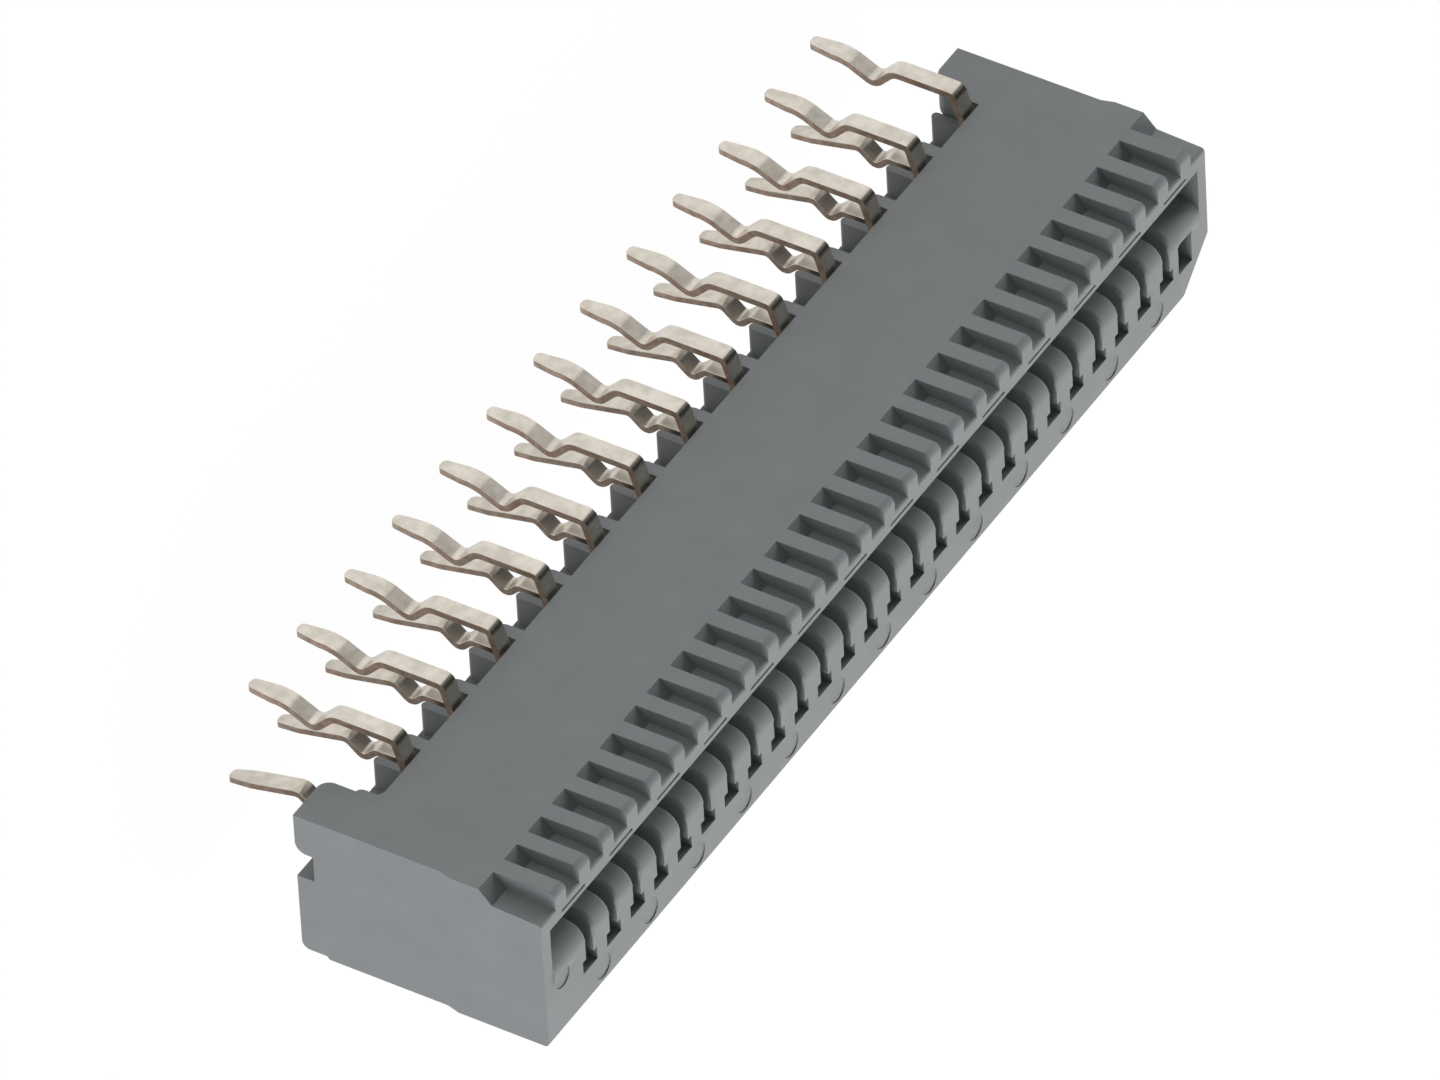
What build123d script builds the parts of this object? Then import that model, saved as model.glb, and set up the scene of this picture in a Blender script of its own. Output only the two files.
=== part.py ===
from build123d import *
import math
import os

# Connector for a flat flexible cable. It is soldered upright on a circuit board.
# All sizes are in millimetres. X runs along the row of contacts, and Z from the board to the mouth.
# The slotted wide face looks toward -Y. Z = 0 is the plane that seats on the board.
# A drop is measured from the slotted face, a depth from the mouth face and a height from the board.

os.makedirs("parts", exist_ok=True)

# Round corners below this radius are cut into facets, each turned by some degrees from the last
smallest_arc = 0.25
seen_turn = 30
hidden_turn = 45

# Row of contacts
contact_count = 26
pitch = 1.25

# Outline of the housing
end_margin = 2.305
housing_thickness = 5.05
housing_height = 7.93
end_relief = 0.11
end_relief_height = 4.65
end_relief_run = 0.4
mouth_edge_radius = 0.12
seat_edge_radius = 0.25
back_step = 0.1
back_step_height = 0.88

# Ears and open bays on the board side
recess_height = 1.73
recess_corner_radius = 0.45
first_ear_offset = -0.05
last_ear_offset = 0.2
ear_corner_radius = 0.38
ear_lip_thickness = 1.35
ear_lip_radius = 0.35
bay_floor_drop = 2.25
undercut_height = 0.56

# Partition walls between the tails, one more than there are pairs of contacts
wall_thickness = 0.27
wall_top_drop = 1.24
wall_setback = 0.04
wall_end_radius = 0.12
finger_width = 0.42
finger_length = 0.72
finger_end_radius = 0.2

# Stepped front zone of the slotted face, and its ribs
deck_drop_at_mouth = 0.53
deck_drop_at_foot = 0.45
deck_length = 1.55
deck_slope_run = 0.41
rib_width = 0.56
rib_nose_radius = 0.22

# Lip above the cable slot
lip_drop = 1.03
dash_length = 1.2
dash_height = 0.08
dash_depth = 0.05
dash_drop = 0.84

# Cable slot
jamb_thickness = 0.43
slot_floor_drop = 2.2
slot_end_wall = 0.5
lead_in_start = 0.35
lead_in_depth = 1.3
throat_drop = 1.5

# Comb of fins in the lower jaw of the slot
comb_gap = 0.39
comb_end_wall = 0.4
nose_length = 0.5
nose_shoulder_fall = 0.14
nose_shoulder_depth = 0.16
nose_crest_drop = 2.75
nose_foot_drop = 3.1
nose_proud = 0.06
nose_facets = 4

# Contact strip
strip_thickness = 0.22
strip_width = 0.56
strip_bend = 0.3
strip_clearance = 0.02
arm_width = 0.33
arm_nose_depth = 0.9
arm_fold_height = 0.54
arm_crest_drop = 1.95
arm_end_run = 1.0
arm_end_gap = 0.7
arm_end_drop = 2.3
channel_top_drop = 3.1
channel_floor_drop = 3.5
channel_head_room = 0.15
spine_wall = 0.7
upper_exit_drop = 0.4
lower_exit_drop = 1.41

# Upper tails of the contacts
rise_gap = 0.11
rise_bend = 0.12
upper_rise_fall = 0.32
upper_crest_drop = -0.65
upper_crest_bend = 0.2
upper_kink_height = -0.66
upper_kink_bend = 0.35
upper_valley_height = -1.27
upper_valley_drop = 0.0
upper_valley_bend = 0.3
upper_shoulder_height = -2.25
upper_shoulder_drop = -0.49
upper_shoulder_bend = 0.7
upper_end_drop = -0.5

# Lower tails of the contacts
lower_kink_height = -0.16
lower_kink_bend = 0.2
lower_valley_height = -0.56
lower_valley_drop = 1.8
lower_crest_height = -1.1
lower_crest_drop = 1.32
lower_crest_bend = 0.25
lower_end_drop = 1.88

# Ends of all tails
tail_length = 3.45
tail_tip_width = 0.36
tail_tip_radius = 0.15
tail_taper_length = 0.8

# Windows moulded under each contact in the mouth face
window_width = 0.74
window_height = 0.43
window_depth = 1.0

# Round marks, end pocket and corner bevel in the mouth face
mark_radius = 0.4
mark_depth = 0.04
mark_sides = 16
mark_edge_gap = 0.2
end_mark_radius = 0.36
end_mark_drop = 3.15
end_mark_offset = 1.4
pocket_width = 0.73
pocket_offset = 1.04
pocket_top_drop = 2.85
pocket_height = 1.15
pocket_depth = 0.8
bevel_width = 1.5
bevel_height = 1.4

# Places that follow from the sizes above
row_span = (contact_count - 1) * pitch
housing_length = row_span + 2 * end_margin
pair_step = 2 * pitch
pair_count = contact_count // 2
mouth_half = housing_length / 2 - jamb_thickness
wall_row_half = pair_count * pair_step / 2
first_ear_inner = wall_row_half + first_ear_offset
last_ear_inner = wall_row_half + last_ear_offset
rib_count = contact_count + 2
channel_width = strip_width + 2 * strip_clearance
lower_arm_drop = channel_floor_drop - strip_clearance - strip_thickness / 2
spine_height = recess_height + spine_wall
slot_end_height = spine_height + slot_end_wall
comb_end_height = slot_end_height + comb_end_wall
arm_end_height = comb_end_height + arm_end_gap
arm_crest_height = arm_end_height + arm_end_run
upper_rise_height = recess_height - rise_gap
upper_crest_height = upper_rise_height - upper_rise_fall
window_floor_drop = channel_floor_drop + window_height
mark_drop = housing_thickness - mark_edge_gap - mark_radius


def across(drop):
    """Y of a point that lies this far below the slotted face."""
    return drop - housing_thickness / 2


def down(depth):
    """Z of a point that lies this far inside the mouth face."""
    return housing_height - depth


def bend(before, corner, after, radius, facet_turn):
    """Points on the arc of this radius that rounds a corner between two straight runs."""
    middle = Vector(*corner)
    back = (Vector(*before) - middle).normalized()
    onward = (Vector(*after) - middle).normalized()
    turn = 180 - back.get_angle(onward)
    half_turn = math.radians(turn / 2)
    reach = radius * math.tan(half_turn)
    facets = math.ceil(turn / facet_turn)
    points = []
    for index in range(facets + 1):
        share = index / facets
        first = (1 - share) ** 2
        second = 2 * math.cos(half_turn) * share * (1 - share)
        third = share ** 2
        mixed = (middle + back * reach) * first + middle * second + (middle + onward * reach) * third
        points.append(mixed * (1 / (first + second + third)))
    return points


def eased(corners, largest, facet_turn=seen_turn):
    """Points of corners (a, b, radius), with facets at each round corner below this radius."""
    points = []
    for index, (a, b, radius) in enumerate(corners):
        if 0 < radius < largest:
            before = corners[index - 1][:2]
            after = corners[(index + 1) % len(corners)][:2]
            points += bend(before, (a, b), after, radius, facet_turn)
        else:
            points.append(Vector(a, b))
    return points


def outline(corners):
    """Closed flat face from corners (a, b, radius), with arcs at its large round corners."""
    face = make_face(Polyline(eased(corners, smallest_arc), close=True))
    for a, b, radius in corners:
        if radius >= smallest_arc:
            corner = face.vertices().sort_by_distance((a, b))[0]
            face = fillet(corner, radius)
    return face


def side_slice(corners, width, x=0.0):
    """Solid with a side outline of corners (drop, z, radius), centred on x."""
    face = outline([(across(drop), z, radius) for drop, z, radius in corners])
    return extrude(Plane.YZ.offset(x) * face, amount=width / 2, both=True)


def front_slice(corners, top_drop, floor_drop):
    """Solid with a front outline of corners (x, z, radius), between two drops."""
    plane = Plane.XZ.offset(-across(top_drop))
    return extrude(plane * outline(corners), amount=top_drop - floor_drop)


def cell(x, width, top_drop, floor_drop, low, high):
    """Plain block centred on x, between two drops and two heights."""
    middle = Pos(x, across((top_drop + floor_drop) / 2), (low + high) / 2)
    return middle * Box(width, floor_drop - top_drop, high - low)


def row(count, step):
    """Places along X of a centred row, from the first contact's end."""
    return [(count - 1) * step / 2 - index * step for index in range(count)]


def body_block():
    """Full length of the moulding, with the stepped front zone and the undercut of the ears."""
    bottom = housing_thickness
    slope_head = down(deck_length + deck_slope_run)
    return side_slice([
        (deck_drop_at_mouth, housing_height, mouth_edge_radius),
        (bottom, housing_height, mouth_edge_radius),
        (bottom, back_step_height, 0),
        (bottom - back_step, back_step_height - back_step, 0),
        (bottom - back_step, 0, seat_edge_radius),
        (bay_floor_drop, 0, 0),
        (bay_floor_drop, undercut_height, 0),
        (ear_lip_thickness, undercut_height, 0),
        (ear_lip_thickness, 0, ear_lip_radius),
        (0, 0, 0),
        (0, slope_head, 0),
        (deck_drop_at_foot, down(deck_length), 0),
    ], housing_length)


def end_reliefs():
    """Thin slabs that come off both ends below the cable mouth."""
    tip = housing_length / 2
    inner = tip - end_relief
    reach = housing_thickness
    cuts = Part()
    for side in (1, -1):
        cuts += front_slice([
            (side * inner, -reach, 0),
            (side * inner, end_relief_height, 0),
            (side * tip, end_relief_height + end_relief_run, 0),
            (side * (tip + end_relief), -reach, 0),
        ], -reach, housing_thickness + reach)
    return cuts


def bay_recess():
    """Open space between the two ears, with rounded corners."""
    right = first_ear_inner
    left = -last_ear_inner
    far_right = right + 2 * ear_corner_radius
    far_left = left - 2 * ear_corner_radius
    return front_slice([
        (left, recess_height, recess_corner_radius),
        (right, recess_height, recess_corner_radius),
        (right, 0, ear_corner_radius),
        (far_right, 0, 0),
        (far_right, -recess_height, 0),
        (far_left, -recess_height, 0),
        (far_left, 0, 0),
        (left, 0, ear_corner_radius),
    ], -recess_height, bay_floor_drop)


def partition(x):
    """Wall between two pairs of tails, with a wider finger level with the slotted face."""
    half = wall_thickness / 2
    wall = front_slice([
        (x - half, wall_setback, wall_end_radius),
        (x + half, wall_setback, wall_end_radius),
        (x + half, recess_height, 0),
        (x - half, recess_height, 0),
    ], wall_top_drop, bay_floor_drop)
    half = finger_width / 2
    tip = recess_height - finger_length
    finger = front_slice([
        (x - half, tip, finger_end_radius),
        (x + half, tip, finger_end_radius),
        (x + half, recess_height, 0),
        (x - half, recess_height, 0),
    ], 0, bay_floor_drop)
    return wall + finger


def rib(x):
    """Rib of the stepped front zone, level with the slotted face."""
    foot = down(deck_length + deck_slope_run)
    return side_slice([
        (0, foot, 0),
        (0, housing_height, rib_nose_radius),
        (deck_drop_at_mouth + mouth_edge_radius, housing_height, 0),
        (deck_drop_at_mouth + mouth_edge_radius, foot, 0),
    ], rib_width, x)


def cable_slot():
    """Slot for the cable, with a tapered roof."""
    over = housing_height + nose_length
    return side_slice([
        (lip_drop, over, 0),
        (lip_drop, down(lead_in_start), 0),
        (throat_drop, down(lead_in_depth), 0),
        (throat_drop, slot_end_height, 0),
        (slot_floor_drop, slot_end_height, 0),
        (slot_floor_drop, down(nose_length), 0),
        (nose_foot_drop, down(nose_length), 0),
        (nose_foot_drop, over, 0),
    ], 2 * mouth_half)


def jaw_nose():
    """Rounded front of the lower jaw, which stands a little proud of the mouth face."""
    start = (across(slot_floor_drop), down(nose_length))
    shoulder = (across(slot_floor_drop + nose_shoulder_fall), down(nose_shoulder_depth))
    crest = (across(nose_crest_drop), housing_height + nose_proud)
    foot = (across(nose_foot_drop), housing_height)
    base = (across(nose_foot_drop), down(nose_length))
    curve = ThreePointArc(start, shoulder, crest)
    facets = [curve @ (index / nose_facets) for index in range(nose_facets + 1)]
    face = make_face(Polyline(facets + [foot, base], close=True))
    return extrude(Plane.YZ * face, amount=mouth_half, both=True)


def beside(points, distance):
    """Points at this distance to the left of a path."""
    ways = [(after - before).normalized() for before, after in zip(points, points[1:])]
    shifted = []
    for index, point in enumerate(points):
        leaving = ways[min(index, len(ways) - 1)]
        middle = (ways[max(index - 1, 0)] + leaving).normalized()
        shifted.append(point + Vector(-middle.Y, middle.X) * (distance / middle.dot(leaving)))
    return shifted


def strip(corners, width, thickness, facet_turn):
    """Flat strip bent along a path of corners (drop, z, radius)."""
    places = [(across(drop), z, radius) for drop, z, radius in corners]
    path = eased(places, housing_thickness, facet_turn)
    rim = beside(path, thickness / 2) + beside(path, -thickness / 2)[::-1]
    return extrude(Plane.YZ * make_face(Polyline(rim, close=True)), amount=width / 2, both=True)


def root(exit_drop, end_height, clearance):
    """Anchored run of a contact, from its lower arm along the spine to the board side."""
    return strip([
        (lower_arm_drop, down(arm_nose_depth + arm_fold_height / 2 + strip_bend), 0),
        (lower_arm_drop, spine_height, strip_bend),
        (exit_drop, spine_height, strip_bend),
        (exit_drop, end_height, 0),
    ], strip_width + 2 * clearance, strip_thickness + 2 * clearance, hidden_turn)


def upper_tail():
    """Tail that climbs over the slotted face and kinks below the board."""
    return strip([
        (upper_exit_drop, recess_height, 0),
        (upper_exit_drop, upper_rise_height, rise_bend),
        (upper_crest_drop, upper_crest_height, upper_crest_bend),
        (upper_crest_drop, upper_kink_height, upper_kink_bend),
        (upper_valley_drop, upper_valley_height, upper_valley_bend),
        (upper_shoulder_drop, upper_shoulder_height, upper_shoulder_bend),
        (upper_end_drop, -tail_length, 0),
    ], strip_width, strip_thickness, seen_turn)


def lower_tail():
    """Tail that leaves straight through the bay and kinks below the board."""
    return strip([
        (lower_exit_drop, recess_height, 0),
        (lower_exit_drop, lower_kink_height, lower_kink_bend),
        (lower_valley_drop, lower_valley_height, lower_kink_bend),
        (lower_crest_drop, lower_crest_height, lower_crest_bend),
        (lower_end_drop, -tail_length, 0),
    ], strip_width, strip_thickness, seen_turn)


def spring_arm():
    """Narrow arm that folds back from the nose and presses on the cable."""
    fold = down(arm_nose_depth + strip_thickness / 2)
    radius = arm_fold_height / 2 - strip_clearance / 2
    return strip([
        (lower_arm_drop, down(arm_nose_depth + 3 * strip_bend), 0),
        (lower_arm_drop, fold, radius),
        (lower_arm_drop - arm_fold_height, fold, radius),
        (arm_crest_drop, arm_crest_height, 2 * strip_bend),
        (arm_end_drop, arm_end_height, 0),
    ], arm_width, strip_thickness, hidden_turn)


def tail_taper():
    """Front outline that every contact is trimmed to, with a narrow rounded tip."""
    half = strip_width / 2
    tip = tail_tip_width / 2
    shoulder = tail_taper_length - tail_length
    return front_slice([
        (-half, housing_height, 0),
        (half, housing_height, 0),
        (half, shoulder, 0),
        (tip, -tail_length, tail_tip_radius),
        (-tip, -tail_length, tail_tip_radius),
        (-half, shoulder, 0),
    ], -housing_thickness, 2 * housing_thickness)


def contact(exit_drop, tail):
    """One contact, centred on X = 0."""
    return (root(exit_drop, recess_height, 0) + tail + spring_arm()) & tail_taper()


def contact_cavity(x, exit_drop):
    """Space that one contact needs in the housing."""
    passage = Pos(x, 0, 0) * root(exit_drop, 0, strip_clearance)
    over = housing_height + nose_length
    head = down(arm_nose_depth - channel_head_room)
    gap = cell(x, comb_gap, throat_drop, channel_floor_drop, comb_end_height, over)
    channel = cell(x, channel_width, channel_top_drop, channel_floor_drop, spine_height, head)
    window = cell(x, window_width, channel_floor_drop, window_floor_drop, down(window_depth), over)
    return [passage, gap, channel, window]


def round_mark(x, drop, radius):
    """Shallow round mark that an ejector pin leaves in the mouth face."""
    face = Pos(x, across(drop), housing_height) * RegularPolygon(radius, mark_sides)
    return extrude(face, amount=mark_depth, both=True)


def mouth_marks():
    """Round marks, lip dashes and the end pocket of the mouth face."""
    cuts = [round_mark(x, mark_drop, mark_radius) for x in row(pair_count, pair_step)]
    cuts.append(round_mark(row_span / 2 + end_mark_offset, end_mark_drop, end_mark_radius))
    for x in row(pair_count + 1, pair_step):
        dash = Box(dash_length, dash_height, 2 * dash_depth)
        cuts.append(Pos(x, across(dash_drop), housing_height) * dash)
    pocket_x = -row_span / 2 - pocket_offset
    pocket_floor_drop = pocket_top_drop + pocket_height
    over = housing_height + pocket_depth
    cuts.append(cell(pocket_x, pocket_width, pocket_top_drop, pocket_floor_drop, down(pocket_depth), over))
    return cuts


def corner_bevel():
    """Bevel on one long edge at the last contact's end, which shows which way round the part is."""
    tip = -housing_length / 2
    bottom = across(housing_thickness)
    face = make_face(Polyline([
        (tip, bottom - bevel_height),
        (tip + bevel_width, bottom),
        (tip, bottom + bevel_height),
        (tip - bevel_width, bottom),
    ], close=True))
    return Pos(0, 0, -housing_height) * extrude(face, amount=3 * housing_height)


def make_housing():
    """The moulding, from its block to its cavities."""
    solid = body_block() - bay_recess()
    solid += [partition(x) for x in row(pair_count + 1, pair_step)]
    solid += [rib(x) for x in row(rib_count, pitch)]
    solid -= end_reliefs()
    solid -= cable_slot()
    solid += jaw_nose()
    solid -= corner_bevel()
    solid -= mouth_marks()
    for index, x in enumerate(row(contact_count, pitch)):
        exit_drop = upper_exit_drop if index % 2 else lower_exit_drop
        solid -= contact_cavity(x, exit_drop)
    return solid


housing = make_housing()
export_step(housing, "parts/housing.step")

contact_forms = [contact(lower_exit_drop, lower_tail()), contact(upper_exit_drop, upper_tail())]
for index, x in enumerate(row(contact_count, pitch)):
    placed = Pos(x, 0, 0) * contact_forms[index % 2]
    export_step(placed, f"parts/contact_{index + 1:02d}.step")

print("housing", round(housing.volume, 2), "mm3,", len(housing.faces()), "faces")
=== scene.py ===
# %% [markdown]
# # A fine pitch cable connector
#
# The part is a connector for a flat flexible cable. A grey plastic housing holds 26 tinned
# strips, and the tails of the strips go through holes in a circuit board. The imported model
# gives every piece its real shape and size. This script gives the pieces their finish, a
# floor, soft light and a camera. All lengths are in metres.

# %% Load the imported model
import math
from collections import namedtuple

import bmesh
import bpy
from mathutils import Matrix, Vector


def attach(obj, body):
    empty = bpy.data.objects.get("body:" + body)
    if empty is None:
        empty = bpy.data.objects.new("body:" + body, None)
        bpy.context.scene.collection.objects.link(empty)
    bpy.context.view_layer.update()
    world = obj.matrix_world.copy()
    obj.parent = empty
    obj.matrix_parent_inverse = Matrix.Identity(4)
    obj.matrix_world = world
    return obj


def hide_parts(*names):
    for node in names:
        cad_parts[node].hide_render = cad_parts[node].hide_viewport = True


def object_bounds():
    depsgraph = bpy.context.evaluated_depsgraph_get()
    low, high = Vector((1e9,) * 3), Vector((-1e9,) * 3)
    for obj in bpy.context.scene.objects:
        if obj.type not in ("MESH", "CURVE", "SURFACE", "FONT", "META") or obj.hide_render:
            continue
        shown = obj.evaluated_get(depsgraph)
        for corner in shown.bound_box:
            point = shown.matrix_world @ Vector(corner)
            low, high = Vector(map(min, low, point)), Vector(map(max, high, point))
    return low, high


MM = 0.001

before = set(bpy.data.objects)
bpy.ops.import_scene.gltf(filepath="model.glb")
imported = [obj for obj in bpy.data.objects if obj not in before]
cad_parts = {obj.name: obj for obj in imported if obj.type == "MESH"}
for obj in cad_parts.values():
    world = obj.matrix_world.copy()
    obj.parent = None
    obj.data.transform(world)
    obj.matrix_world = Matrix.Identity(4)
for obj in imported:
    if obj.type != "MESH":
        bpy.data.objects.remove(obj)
cad_box = [list(corner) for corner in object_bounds()]
print("nodes:", len(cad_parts))
print("box in mm:", [[round(x / MM, 2) for x in corner] for corner in cad_box])

# %% [markdown]
# ## Sizes that the finish needs
#
# Moulded plastic never has a knife edge: the steel of the mould is slightly rounded by
# wear and polishing, and the plastic doesn't fill the last few hundredths of a millimetre.
# Those tiny rounds catch the light and make the thin bright lines along each rib. They are
# too fine for the solid model, so they are added to a copy of its mesh here.
#
# The long edges of the ribs are softer than the rest. So are the edges along the noses of
# the fins in the lower jaw, which are blunt like finger tips. Both sets of edges are found
# by where they lie, so the limits of the ribs and the fins are named here too.

# %% Name the sizes of the housing's edges
HOUSING_NODE = "housing"
MOULD_EDGE = 0.035 * MM
MOULD_STEPS = 2

RIB_EDGE = 0.13 * MM
RIB_REACH = 17.5 * MM  # largest distance to either side of the middle
RIB_LOW = 3.0 * MM  # lowest height over the board
ON_FACE = 0.01 * MM  # how far from the slotted face an edge still counts as on it

FIN_EDGE = 0.12 * MM
FIN_REACH = 16.5 * MM  # largest distance to either side of the middle
FIN_LOW = 7.3 * MM  # lowest height over the board
FIN_NEAR = -0.35 * MM  # nearest to the slotted face
FIN_FAR = 0.95 * MM  # farthest from it

WIDE_STEPS = 3
print("widest rounds in mm:", round(RIB_EDGE / MM, 2), "and", round(FIN_EDGE / MM, 2))

# %% [markdown]
# The model draws each bend of a strip with a few flat faces. Those bends are eased three
# times, each time by less, which turns them into smooth curves. A bend is eased only where
# the faces beside it leave room.

# %% Name the sizes of the strips' edges
STRIP_EDGE = 0.02 * MM
STRIP_STEPS = 1
BEND_EASES = [0.16 * MM, 0.08 * MM, 0.04 * MM]
BEND_ROOM = 2.2  # least length beside a bend, in widths of its ease
contact_nodes = sorted(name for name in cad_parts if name.startswith("contact_"))
print("contacts:", len(contact_nodes))

# %% [markdown]
# An edge is judged by the turn between its two faces. One degree is still the same plane,
# 8 degrees or more is part of a bend, and more than 35 degrees is a sharp edge.

# %% Name the turns between faces
FLAT_TURN = math.radians(1)
SLIGHT_TURN = math.radians(8)
SHARP_TURN = math.radians(35)
BEND_TURN = 1.5 * SHARP_TURN
SOFT_TURN = math.radians(55)
SIDEWAYS = 0.99  # share of a normal along X from which a face looks sideways
PUNCHED = 0.8  # the same for the punched side of a strip
print("sharp turn:", round(math.degrees(SHARP_TURN)), "degrees")

# %% [markdown]
# ## Copy a node and finish its mesh
#
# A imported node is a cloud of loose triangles. A copy is merged into one skin, its flat
# triangles are joined into whole faces, and the sharp edges that are left get a small bevel.
# The copy then stands for the node, which stays in the model for its collision and mass.

# %% Copy the mesh of a node and join its triangles
MERGE_DISTANCE = 0.002 * MM


def merged_copy(node):
    """A bmesh of a node with whole faces in place of loose triangles."""
    skin = bmesh.new()
    skin.from_mesh(bpy.data.objects[node].data)
    bmesh.ops.remove_doubles(skin, verts=skin.verts, dist=MERGE_DISTANCE)
    bmesh.ops.dissolve_limit(
        skin, angle_limit=FLAT_TURN, use_dissolve_boundaries=False,
        verts=skin.verts, edges=skin.edges, delimit=set(),
    )
    return skin


housing_skin = merged_copy(HOUSING_NODE)
print("housing faces after the merge:", len(housing_skin.faces))

# %% Bevel the edges of a skin
ROUND_PROFILE = 0.5


def round_edges(skin, edges, width, steps, clamp=True):
    """Bevel these edges with a round profile, all narrower if clamp finds too little room."""
    bmesh.ops.bevel(
        skin, geom=edges, offset=width, offset_type="OFFSET", affect="EDGES",
        segments=steps, profile=ROUND_PROFILE, material=-1, clamp_overlap=clamp,
    )


def room_beside(edge):
    """Length of the shortest edge that meets this one."""
    return min(other.calc_length() for vertex in edge.verts
               for other in vertex.link_edges if other != edge)


def ease_edges(skin, width, steps, least=SHARP_TURN, most=math.pi, room=0.0):
    """Round each edge whose turn lies between two angles and that has room for it."""
    chosen = [edge for edge in skin.edges if len(edge.link_faces) == 2
              and least < edge.calc_face_angle(0.0) < most and room_beside(edge) >= room * width]
    round_edges(skin, chosen, width, steps)
    return len(chosen)


print("made the tools that round edges")


# %% Aim the shading of a mesh
def aim_shading(mesh):
    """Let the large faces of each corner decide how the light falls on it."""
    touching = [[] for vertex in mesh.vertices]
    for face in mesh.polygons:
        for index in face.vertices:
            touching[index].append(face)
    least = math.cos(SOFT_TURN)
    aims = []
    for face in mesh.polygons:
        for index in face.vertices:
            near = [other for other in touching[index] if other.normal.dot(face.normal) > least]
            aims.append(sum((other.normal * other.area for other in near), Vector()).normalized())
    mesh.shade_smooth()
    mesh.normals_split_custom_set(aims)


print("faces that turn less than", round(math.degrees(SOFT_TURN)), "degrees share their light")


# %% Turn a finished skin into a piece
def piece_from(skin, name, node):
    """An object at the origin that stands for a node and rides on the root body."""
    mesh = bpy.data.meshes.new(name)
    skin.to_mesh(mesh)
    skin.free()
    piece = bpy.data.objects.new(name, mesh)
    bpy.context.collection.objects.link(piece)
    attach(piece, "root")
    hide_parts(node)
    return piece


print("made the tool that turns a skin into a piece")

# %% [markdown]
# ## Plastic, tin and bare alloy
#
# The housing is a glass filled plastic with a fine matt skin and a faint cloudiness where
# the melt flowed. The contacts are punched from a strip that was tinned first. Their wide
# faces are bright tin with a slight haze, and the punched sides show the bare copper alloy.
#
# All three are made the same way. A broad noise moves the colour between two tones, and a
# fine noise in the bump stands for the grain. The scales count waves in a metre, and the
# depth of the grain is in metres.

# %% Name the three finishes
Finish = namedtuple("Finish", "name metallic roughness dark light cloud_scale grain_scale depth")

PLASTIC = Finish(
    name="moulded_plastic", metallic=0.0, roughness=0.52,
    dark=(0.189, 0.202, 0.208), light=(0.201, 0.214, 0.220),
    cloud_scale=900, grain_scale=16000, depth=0.004 * MM,
)
TIN = Finish(
    name="tinned_face", metallic=1.0, roughness=0.3,
    dark=(0.64, 0.59, 0.515), light=(0.80, 0.742, 0.655),
    cloud_scale=2600, grain_scale=9000, depth=0.004 * MM,
)
COPPER = Finish(
    name="punched_edge", metallic=1.0, roughness=0.42,
    dark=(0.30, 0.215, 0.165), light=(0.44, 0.34, 0.275),
    cloud_scale=4200, grain_scale=14000, depth=0.006 * MM,
)
print("finishes:", PLASTIC.name, TIN.name, COPPER.name)

# %% Make nodes for a material
CLOUD_DETAIL = 4
CLOUD_LOW = 0.35
CLOUD_HIGH = 0.65
GRAIN_DETAIL = 3
GRAIN_STRENGTH = 0.6


def new_material(name):
    """An empty node material with its nodes and links."""
    material = bpy.data.materials.new(name)
    material.use_nodes = True
    return material, material.node_tree.nodes, material.node_tree.links


def noise(nodes, links, scale, detail):
    """A noise that reads the object's own coordinates in metres."""
    place = nodes.new("ShaderNodeTexCoord")
    texture = nodes.new("ShaderNodeTexNoise")
    texture.inputs["Scale"].default_value = scale
    texture.inputs["Detail"].default_value = detail
    links.new(place.outputs["Object"], texture.inputs["Vector"])
    return texture.outputs["Fac"]


def cloudy_tone(nodes, links, finish):
    """A colour that a broad noise moves between the two tones of a finish."""
    ramp = nodes.new("ShaderNodeValToRGB")
    low, high = ramp.color_ramp.elements
    low.position, low.color = CLOUD_LOW, (*finish.dark, 1)
    high.position, high.color = CLOUD_HIGH, (*finish.light, 1)
    links.new(noise(nodes, links, finish.cloud_scale, CLOUD_DETAIL), ramp.inputs["Fac"])
    return ramp.outputs["Color"]


def fine_grain(nodes, links, finish):
    """A normal that a fine noise disturbs."""
    bump = nodes.new("ShaderNodeBump")
    bump.inputs["Strength"].default_value = GRAIN_STRENGTH
    bump.inputs["Distance"].default_value = finish.depth
    links.new(noise(nodes, links, finish.grain_scale, GRAIN_DETAIL), bump.inputs["Height"])
    return bump.outputs["Normal"]


print("made the tools that build materials")


# %% Make the three materials
def material_of(finish):
    """The material of a finish."""
    material, nodes, links = new_material(finish.name)
    shader = nodes["Principled BSDF"]
    shader.inputs["Metallic"].default_value = finish.metallic
    shader.inputs["Roughness"].default_value = finish.roughness
    links.new(cloudy_tone(nodes, links, finish), shader.inputs["Base Color"])
    links.new(fine_grain(nodes, links, finish), shader.inputs["Normal"])
    return material


plastic = material_of(PLASTIC)
tin = material_of(TIN)
copper = material_of(COPPER)
print("made", plastic.name, "and", tin.name, "and", copper.name)

# %% [markdown]
# ## Finish the housing
#
# The wide rounds along the ribs and the fins come first, and then every sharp edge that is
# left gets the small one. The rounds along the fins aren't clamped, because a clamp takes
# the tightest corner as the limit for all of them.


# %% Find the edges of the ribs and the fins
def joins_front_and_side(edge):
    """Whether one face of an edge looks along X and the other one not at all."""
    turns = sorted(abs(face.normal.x) for face in edge.link_faces)
    return turns[0] < 1 - SIDEWAYS and turns[-1] > SIDEWAYS


def on_rib(edge, face_y):
    """Whether an edge runs along a rib, between the slotted face and a side of a pocket."""
    inside = all(point.co.y < face_y + ON_FACE and point.co.z > RIB_LOW
                 and abs(point.co.x) < RIB_REACH for point in edge.verts)
    return inside and joins_front_and_side(edge)


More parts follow.
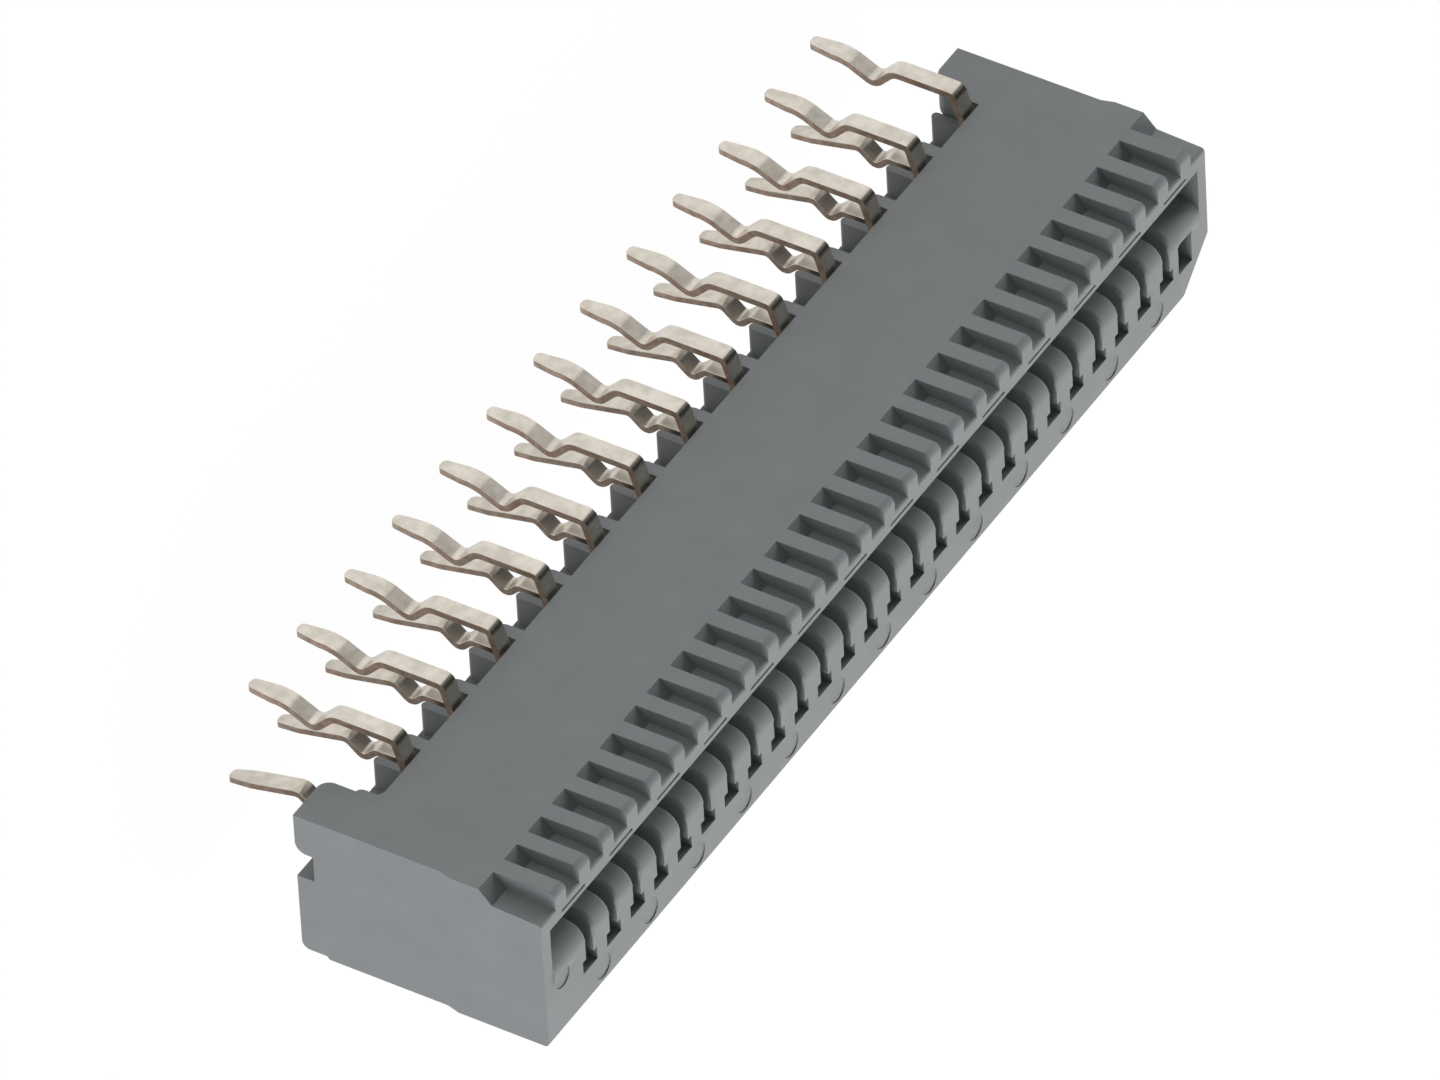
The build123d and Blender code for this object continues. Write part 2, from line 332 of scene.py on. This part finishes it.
def on_fin_nose(edge):
    """Whether an edge runs along the nose of a fin, between its front and one of its sides."""
    inside = all(point.co.z > FIN_LOW and FIN_NEAR < point.co.y < FIN_FAR
                 and abs(point.co.x) < FIN_REACH for point in edge.verts)
    return inside and joins_front_and_side(edge)


print("made the tools that find the softer edges")

# %% Round the edges of the housing
slotted_y = min(point.co.y for point in housing_skin.verts)
ribs = [edge for edge in housing_skin.edges if on_rib(edge, slotted_y)]
round_edges(housing_skin, ribs, RIB_EDGE, WIDE_STEPS)
print("edges along the ribs:", len(ribs))

noses = [edge for edge in housing_skin.edges if on_fin_nose(edge)]
round_edges(housing_skin, noses, FIN_EDGE, WIDE_STEPS, clamp=False)
print("edges along the fin noses:", len(noses))

eased = ease_edges(housing_skin, MOULD_EDGE, MOULD_STEPS)
print("other sharp edges:", eased)

# %% Make the housing
housing = piece_from(housing_skin, "moulded_housing", HOUSING_NODE)
housing.data.materials.append(plastic)
aim_shading(housing.data)
print("housing:", len(housing.data.polygons), "faces")

# %% [markdown]
# ## Finish the contacts
#
# A contact gets two materials. Each face takes one by the way that it looks: the punched
# sides look along X, and the tinned faces don't.


# %% Make each contact
def finish_contact(node):
    """A contact with eased edges and bare punched sides."""
    skin = merged_copy(node)
    for width in BEND_EASES:
        ease_edges(skin, width, WIDE_STEPS, SLIGHT_TURN, BEND_TURN, BEND_ROOM)
    ease_edges(skin, STRIP_EDGE, STRIP_STEPS)
    piece = piece_from(skin, "strip_" + node[-2:], node)
    piece.data.materials.append(tin)
    piece.data.materials.append(copper)
    for face in piece.data.polygons:
        face.material_index = 1 if abs(face.normal.x) > PUNCHED else 0
    aim_shading(piece.data)
    return piece


strips = [finish_contact(node) for node in contact_nodes]
print("finished", len(strips), "contacts,", len(strips[0].data.polygons), "faces in the first")

# %% [markdown]
# ## Floor and world
#
# The part stands on the tips of its tails over a pale floor. The photograph has a pure
# white ground, so the floor and the world are white to the camera, and the floor keeps a
# very soft shadow.
#
# Bright metal shows its surroundings. A photographer would lay a white card under the
# slotted face and leave the room dark above it, so each bend of a tail goes from light to
# dark. The floor and the world do the same here, for reflected rays alone.

# %% Make tones and mixes for the floor and the world
CARD_BRIGHT = 0.95
CARD_FAR = 0.3
ROOM_DARK = 0.02


def tone_along(nodes, links, axis, start, end, first, last):
    """A tone that goes softly from the first value to the last along an axis."""
    place = nodes.new("ShaderNodeTexCoord")
    split = nodes.new("ShaderNodeSeparateXYZ")
    links.new(place.outputs["Object"], split.inputs["Vector"])
    tone = nodes.new("ShaderNodeMapRange")
    tone.interpolation_type = "SMOOTHSTEP"
    tone.inputs["From Min"].default_value = start
    tone.inputs["From Max"].default_value = end
    tone.inputs["To Min"].default_value = first
    tone.inputs["To Max"].default_value = last
    links.new(split.outputs[axis], tone.inputs["Value"])
    return tone.outputs["Result"]


def glow(nodes, links, kind, tone=None):
    """White light of strength 1, or of a tone that a node gives."""
    light = nodes.new(kind)
    light.inputs["Color"].default_value = (1, 1, 1, 1)
    light.inputs["Strength"].default_value = 1.0
    if tone:
        links.new(tone, light.inputs["Strength"])
    return light.outputs[0]


def ray_mix(nodes, links, ray, share, usual, special):
    """The usual shader, with a share of a special one for one kind of ray."""
    path = nodes.new("ShaderNodeLightPath")
    part = nodes.new("ShaderNodeMath")
    part.operation = "MULTIPLY"
    part.inputs[1].default_value = share
    links.new(path.outputs[ray], part.inputs[0])
    mix = nodes.new("ShaderNodeMixShader")
    links.new(part.outputs[0], mix.inputs["Fac"])
    links.new(usual, mix.inputs[1])
    links.new(special, mix.inputs[2])
    return mix.outputs["Shader"]


print("the white card has strength", CARD_BRIGHT, "and the dark room", ROOM_DARK)

# %% Make the white of the floor
FLOOR_TONE = (0.9, 0.9, 0.9, 1)
FLOOR_ROUGHNESS = 0.9
FLOOR_SEEN = 0.98  # share of pure white that the camera sees
FLOOR_GLOW = 0.8  # share of pure white that lights the part
CARD_NEAR_Y = -4 * MM
CARD_FAR_Y = 6 * MM


def floor_white():
    """White floor that keeps a faint shadow."""
    material, nodes, links = new_material("floor_white")
    shader = nodes["Principled BSDF"]
    shader.inputs["Base Color"].default_value = FLOOR_TONE
    shader.inputs["Roughness"].default_value = FLOOR_ROUGHNESS
    tone = tone_along(nodes, links, "Y", CARD_NEAR_Y, CARD_FAR_Y, CARD_BRIGHT, CARD_FAR)
    card = glow(nodes, links, "ShaderNodeEmission", tone)
    white = glow(nodes, links, "ShaderNodeEmission")
    reflected = ray_mix(nodes, links, "Is Glossy Ray", 1.0, shader.outputs["BSDF"], card)
    lit = ray_mix(nodes, links, "Is Diffuse Ray", FLOOR_GLOW, reflected, white)
    seen = ray_mix(nodes, links, "Is Camera Ray", FLOOR_SEEN, lit, white)
    links.new(seen, nodes["Material Output"].inputs["Surface"])
    return material


floor_paint = floor_white()
print("made", floor_paint.name)

# %% Make the floor
FLOOR_HALF = 2.0
floor_height = cad_box[0][2]
floor_skin = bmesh.new()
bmesh.ops.create_grid(floor_skin, x_segments=1, y_segments=1, size=FLOOR_HALF)
bmesh.ops.translate(floor_skin, verts=floor_skin.verts, vec=(0, 0, floor_height))
floor_mesh = bpy.data.meshes.new("floor")
floor_skin.to_mesh(floor_mesh)
floor_skin.free()
floor = bpy.data.objects.new("floor", floor_mesh)
bpy.context.collection.objects.link(floor)
floor.data.materials.append(floor_paint)
print("floor at", round(floor_height / MM, 2), "mm")

# %% [markdown]
# The world is also the soft light that comes from all sides. It is weak in front of the
# slotted face and stronger behind the part. Its coordinates are directions of length 1, so
# the limits here aren't lengths.

# %% Make the world
AMBIENT_FRONT = 0.1
AMBIENT_BACK = 0.5
AMBIENT_START_Y = -0.6
AMBIENT_END_Y = 0.2
CARD_EDGE_Z = 0.05
ROOM_Z = 0.6

world = bpy.data.worlds.new("studio")
bpy.context.scene.world = world
world.use_nodes = True
nodes = world.node_tree.nodes
links = world.node_tree.links
ambient_tone = tone_along(
    nodes, links, "Y", AMBIENT_START_Y, AMBIENT_END_Y, AMBIENT_FRONT, AMBIENT_BACK)
ambient = glow(nodes, links, "ShaderNodeBackground", ambient_tone)
room_tone = tone_along(nodes, links, "Z", CARD_EDGE_Z, ROOM_Z, CARD_BRIGHT, ROOM_DARK)
room = glow(nodes, links, "ShaderNodeBackground", room_tone)
white = glow(nodes, links, "ShaderNodeBackground")
reflected = ray_mix(nodes, links, "Is Glossy Ray", 1.0, ambient, room)
seen = ray_mix(nodes, links, "Is Camera Ray", 1.0, reflected, white)
links.new(seen, nodes["World Output"].inputs["Surface"])
print("ambient light from", AMBIENT_FRONT, "to", AMBIENT_BACK)

# %% [markdown]
# ## Lamps
#
# Three soft lamps make the mouth the brightest side, the end with contact 1 a little
# darker and the slotted face the darkest. The mouth lamp is slightly warm. The lamps are
# hidden from reflections, because they would burn white patches into the tin: what the
# metal shows comes from the card and the room alone.

# %% Add soft lamps
LAMP_DISTANCE = 0.6
LAMP_SIZE = 0.35
WHITE = (1.0, 1.0, 1.0)
WARM = (1.0, 0.975, 0.94)


def soft_lamp(name, direction, watts, tint=WHITE):
    """A square area lamp that looks at the part from a direction."""
    data = bpy.data.lights.new(name, "AREA")
    data.shape = "SQUARE"
    data.size = LAMP_SIZE
    data.energy = watts
    data.color = tint
    lamp = bpy.data.objects.new(name, data)
    bpy.context.collection.objects.link(lamp)
    toward = Vector(direction).normalized()
    lamp.location = toward * LAMP_DISTANCE
    lamp.rotation_euler = toward.to_track_quat("Z", "Y").to_euler()
    lamp.visible_glossy = False
    return lamp


lamps = [
    soft_lamp("side_light", direction=(-0.9, -0.4, 0.1), watts=3.4),
    soft_lamp("mouth_light", direction=(-0.1, 0.5, 0.85), watts=4.4, tint=WARM),
    soft_lamp("end_light", direction=(0.85, 0.5, 0.0), watts=4.8),
]
print("lamps:", [lamp.name for lamp in lamps])

# %% [markdown]
# ## Camera
#
# The camera stands far off with a long lens, and looks at the slotted face, the mouth and
# the end with contact 1. The part lies on its side in the photograph, so the camera is
# rolled. The angles, the lens and the target are a fit to the corners, ribs and tails of
# the photograph.

# %% Place the camera
CAMERA_AZIMUTH = math.radians(42.344)
CAMERA_ELEVATION = math.radians(23.717)
CAMERA_ROLL = math.radians(110.527)
CAMERA_DISTANCE = 658.8 * MM
CAMERA_TARGET = Vector((0.562, -0.009, 3.088)) * MM
CAMERA_LENS = 596.28
SENSOR_WIDTH = 36
NEAREST_SEEN = 0.01
FARTHEST_SEEN = 10


def camera_frame():
    """World matrix of the camera from its angles."""
    level = math.cos(CAMERA_ELEVATION)
    back = Vector((math.sin(CAMERA_AZIMUTH) * level,
                   -math.cos(CAMERA_AZIMUTH) * level,
                   math.sin(CAMERA_ELEVATION)))
    upright = back.to_track_quat("Z", "Y").to_matrix().to_4x4()
    place = Matrix.Translation(CAMERA_TARGET + back * CAMERA_DISTANCE)
    return place @ upright @ Matrix.Rotation(CAMERA_ROLL, 4, "Z")


camera_data = bpy.data.cameras.new("camera")
camera_data.sensor_width = SENSOR_WIDTH
camera_data.lens = CAMERA_LENS
camera_data.clip_start = NEAREST_SEEN
camera_data.clip_end = FARTHEST_SEEN
camera = bpy.data.objects.new("camera", camera_data)
bpy.context.collection.objects.link(camera)
camera.matrix_world = camera_frame()
bpy.context.scene.camera = camera
bpy.context.scene.view_settings.view_transform = "Standard"
print("camera at", [round(x / MM, 1) for x in camera.matrix_world.translation])
